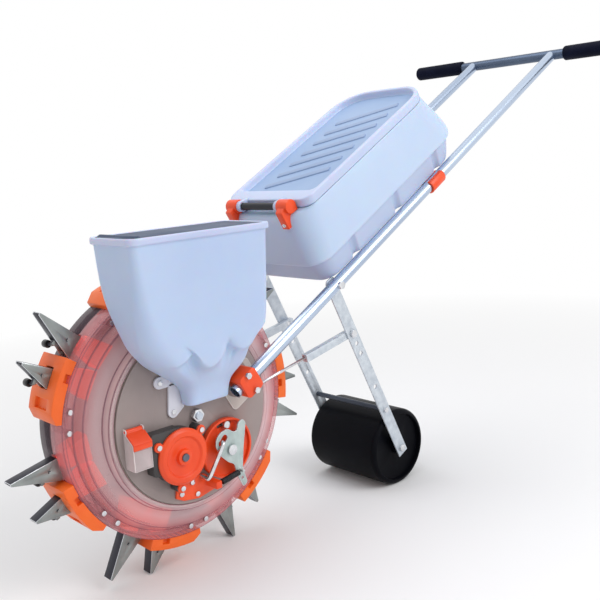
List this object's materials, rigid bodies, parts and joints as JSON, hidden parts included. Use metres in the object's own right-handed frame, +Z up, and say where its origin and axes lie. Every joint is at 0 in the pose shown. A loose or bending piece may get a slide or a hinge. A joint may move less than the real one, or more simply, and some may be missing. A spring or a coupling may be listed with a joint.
{
  "type": "walk-behind seed planter",
  "caption": "Hand-pushed duckbill seed planter: clear drum of opening beaks, side seed meter and hopper, sloping handle tubes with a lidded tank, and a press roller on struts.",
  "frame": {"origin": "on the ground under the middle of the planter's length and width", "axes": "+X to the rear, towards the handlebar; +Y to the side away from the seed meter; +Z up"},
  "size_m": [1.344, 0.556, 0.8677],
  "materials": {
    "hopper_poly": "translucent polyethylene",
    "tank_poly": "translucent polyethylene",
    "grey_lid": "moulded",
    "orange_plastic": "moulded",
    "clear_shell": "clear polycarbonate",
    "smoky_shell": "smoked polycarbonate",
    "plate_plastic": "moulded",
    "grey_plastic": "moulded",
    "nylon": "moulded nylon",
    "black_rubber": "soft",
    "black_plastic": "satin",
    "zinc_steel": "zinc plated",
    "beak_steel": "stamped sheet",
    "spring_steel": "blackened",
    "fastener_steel": "zinc plated"
  },
  "bodies": {
    "frame": {"near_handle_tube": "zinc_steel", "far_handle_tube": "zinc_steel", "handlebar": "zinc_steel", "grips": "black_rubber", "near_plate": "plate_plastic", "far_arm": "zinc_steel", "axle": "zinc_steel", "tube_clamps": "orange_plastic", "frame_bolts": "fastener_steel", "hopper": "hopper_poly", "plate_screws": "fastener_steel", "meter_housing": "grey_plastic", "meter_cover": "orange_plastic", "link_rod": "zinc_steel", "lever_spring": "spring_steel", "corner_bracket": "orange_plastic", "feed_pocket": "clear_shell", "near_strut": "zinc_steel", "far_strut": "zinc_steel", "stay_tubes": "zinc_steel", "stay_rods": "zinc_steel", "tie_rod": "zinc_steel", "roller_axle": "zinc_steel", "tank": "tank_poly", "hinge_brackets": "orange_plastic", "hinge_rod": "black_plastic", "tube_clips": "orange_plastic"},
    "drum": {"near_shell": "clear_shell", "far_shell": "smoky_shell", "drum_hub": "nylon", "hub_bearings": "fastener_steel", "ring_gear": "nylon", "chutes": "orange_plastic", "fert_seats": "orange_plastic", "seed_beaks": "beak_steel", "fert_beaks": "beak_steel", "jaw_pins": "fastener_steel", "drum_screws": "fastener_steel"},
    "seed_jaw_1": {"seed_jaw_1": "beak_steel"},
    "fert_jaw_1": {"fert_jaw_1": "beak_steel"},
    "seed_jaw_2": {"seed_jaw_2": "beak_steel"},
    "fert_jaw_2": {"fert_jaw_2": "beak_steel"},
    "seed_jaw_3": {"seed_jaw_3": "beak_steel"},
    "fert_jaw_3": {"fert_jaw_3": "beak_steel"},
    "seed_jaw_4": {"seed_jaw_4": "beak_steel"},
    "fert_jaw_4": {"fert_jaw_4": "beak_steel"},
    "seed_jaw_5": {"seed_jaw_5": "beak_steel"},
    "fert_jaw_5": {"fert_jaw_5": "beak_steel"},
    "seed_jaw_6": {"seed_jaw_6": "beak_steel"},
    "fert_jaw_6": {"fert_jaw_6": "beak_steel"},
    "seed_jaw_7": {"seed_jaw_7": "beak_steel"},
    "fert_jaw_7": {"fert_jaw_7": "beak_steel"},
    "seed_rotor": {"seed_rotor": "nylon"},
    "fert_rotor": {"fert_rotor": "nylon"},
    "rate_dial": {"rate_dial": "orange_plastic"},
    "gate_lever": {"gate_lever": "zinc_steel"},
    "hopper_lid": {"hopper_lid": "grey_lid"},
    "tank_lid": {"tank_lid": "tank_poly"},
    "roller": {"roller": "black_plastic"},
    "pocket_flap": {"pocket_flap": "orange_plastic"}
  },
  "joints": [
    {"name": "drum_spin", "type": "hinge", "parent": "frame", "child": "drum", "pos_m": [-0.38891, 0, 0.26704], "axis": [0, -1, 0], "continuous": true},
    {"name": "seed_jaw_1_open", "type": "hinge", "parent": "drum", "child": "seed_jaw_1", "pos_m": [-0.55991, 0, 0.41502], "axis": [0, -1, 0], "range_deg": [0, 18], "stiffness_Nm_per_rad": 0.5, "springref_deg": -20.05},
    {"name": "fert_jaw_1_open", "type": "hinge", "parent": "drum", "child": "fert_jaw_1", "pos_m": [-0.60494, 0, 0.37189], "axis": [0, -1, 0], "range_deg": [0, 18], "stiffness_Nm_per_rad": 0.5, "springref_deg": -20.05},
    {"name": "seed_jaw_2_open", "type": "hinge", "parent": "drum", "child": "seed_jaw_2", "pos_m": [-0.61123, 0, 0.22561], "axis": [0, -1, 0], "range_deg": [0, 18], "stiffness_Nm_per_rad": 0.5, "springref_deg": -20.05},
    {"name": "fert_jaw_2_open", "type": "hinge", "parent": "drum", "child": "fert_jaw_2", "pos_m": [-0.60558, 0, 0.16351], "axis": [0, -1, 0], "range_deg": [0, 18], "stiffness_Nm_per_rad": 0.5, "springref_deg": -20.05},
    {"name": "seed_jaw_3_open", "type": "hinge", "parent": "drum", "child": "seed_jaw_3", "pos_m": [-0.49513, 0, 0.06739], "axis": [0, -1, 0], "range_deg": [0, 18], "stiffness_Nm_per_rad": 0.5, "springref_deg": -20.05},
    {"name": "fert_jaw_3_open", "type": "hinge", "parent": "drum", "child": "fert_jaw_3", "pos_m": [-0.44307, 0, 0.03309], "axis": [0, -1, 0], "range_deg": [0, 18], "stiffness_Nm_per_rad": 0.5, "springref_deg": -20.05},
    {"name": "seed_jaw_4_open", "type": "hinge", "parent": "drum", "child": "seed_jaw_4", "pos_m": [-0.29905, 0, 0.05951], "axis": [0, -1, 0], "range_deg": [0, 18], "stiffness_Nm_per_rad": 0.5, "springref_deg": -20.05},
    {"name": "fert_jaw_4_open", "type": "hinge", "parent": "drum", "child": "fert_jaw_4", "pos_m": [-0.23977, 0, 0.07883], "axis": [0, -1, 0], "range_deg": [0, 18], "stiffness_Nm_per_rad": 0.5, "springref_deg": -20.05},
    {"name": "seed_jaw_5_open", "type": "hinge", "parent": "drum", "child": "seed_jaw_5", "pos_m": [-0.17064, 0, 0.2079], "axis": [0, -1, 0], "range_deg": [0, 18], "stiffness_Nm_per_rad": 0.5, "springref_deg": -20.05},
    {"name": "fert_jaw_5_open", "type": "hinge", "parent": "drum", "child": "fert_jaw_5", "pos_m": [-0.14878, 0, 0.2663], "axis": [0, -1, 0], "range_deg": [0, 18], "stiffness_Nm_per_rad": 0.5, "springref_deg": -20.05},
    {"name": "seed_jaw_6_open", "type": "hinge", "parent": "drum", "child": "seed_jaw_6", "pos_m": [-0.20659, 0, 0.40082], "axis": [0, -1, 0], "range_deg": [0, 18], "stiffness_Nm_per_rad": 0.5, "springref_deg": -20.05},
    {"name": "fert_jaw_6_open", "type": "hinge", "parent": "drum", "child": "fert_jaw_6", "pos_m": [-0.23861, 0, 0.45432], "axis": [0, -1, 0], "range_deg": [0, 18], "stiffness_Nm_per_rad": 0.5, "springref_deg": -20.05},
    {"name": "seed_jaw_7_open", "type": "hinge", "parent": "drum", "child": "seed_jaw_7", "pos_m": [-0.37983, 0, 0.493], "axis": [0, -1, 0], "range_deg": [0, 18], "stiffness_Nm_per_rad": 0.5, "springref_deg": -20.05},
    {"name": "fert_jaw_7_open", "type": "hinge", "parent": "drum", "child": "fert_jaw_7", "pos_m": [-0.44162, 0, 0.50131], "axis": [0, -1, 0], "range_deg": [0, 18], "stiffness_Nm_per_rad": 0.5, "springref_deg": -20.05},
    {"name": "seed_meter_spin", "type": "hinge", "parent": "frame", "child": "seed_rotor", "pos_m": [-0.43325, -0.08, 0.21548], "axis": [0, -1, 0], "continuous": true},
    {"name": "fert_meter_spin", "type": "hinge", "parent": "frame", "child": "fert_rotor", "pos_m": [-0.33842, -0.055, 0.19866], "axis": [0, -1, 0], "continuous": true},
    {"name": "dial_turn", "type": "hinge", "parent": "frame", "child": "rate_dial", "pos_m": [-0.33842, -0.078, 0.19866], "axis": [0, -1, 0], "range_deg": [-15, 15]},
    {"name": "lever_swing", "type": "hinge", "parent": "frame", "child": "gate_lever", "pos_m": [-0.33842, -0.0925, 0.19866], "axis": [0, -1, 0], "range_deg": [0, 12], "stiffness_Nm_per_rad": 0.4, "springref_deg": -20.05, "deforming": ["lever_spring"]},
    {"name": "hopper_lid_hinge", "type": "hinge", "parent": "frame", "child": "hopper_lid", "pos_m": [-0.50691, -0.0935, 0.56204], "axis": [0, -1, 0], "range_deg": [0, 95]},
    {"name": "tank_lid_hinge", "type": "hinge", "parent": "frame", "child": "tank_lid", "pos_m": [-0.16252, 0, 0.57701], "axis": [0, -1, 0], "range_deg": [0, 110]},
    {"name": "roller_spin", "type": "hinge", "parent": "frame", "child": "roller", "pos_m": [0.08209, 0, 0.0765], "axis": [0, -1, 0], "continuous": true},
    {"name": "flap_hinge", "type": "hinge", "parent": "frame", "child": "pocket_flap", "pos_m": [-0.50491, -0.077, 0.27504], "axis": [-1, 0, 0], "range_deg": [0, 80]}
  ],
  "couplings": [
    {"joint": "seed_meter_spin", "follows": "drum_spin", "ratio": 2.3333},
    {"joint": "fert_meter_spin", "follows": "drum_spin", "ratio": 3.5}
  ]
}
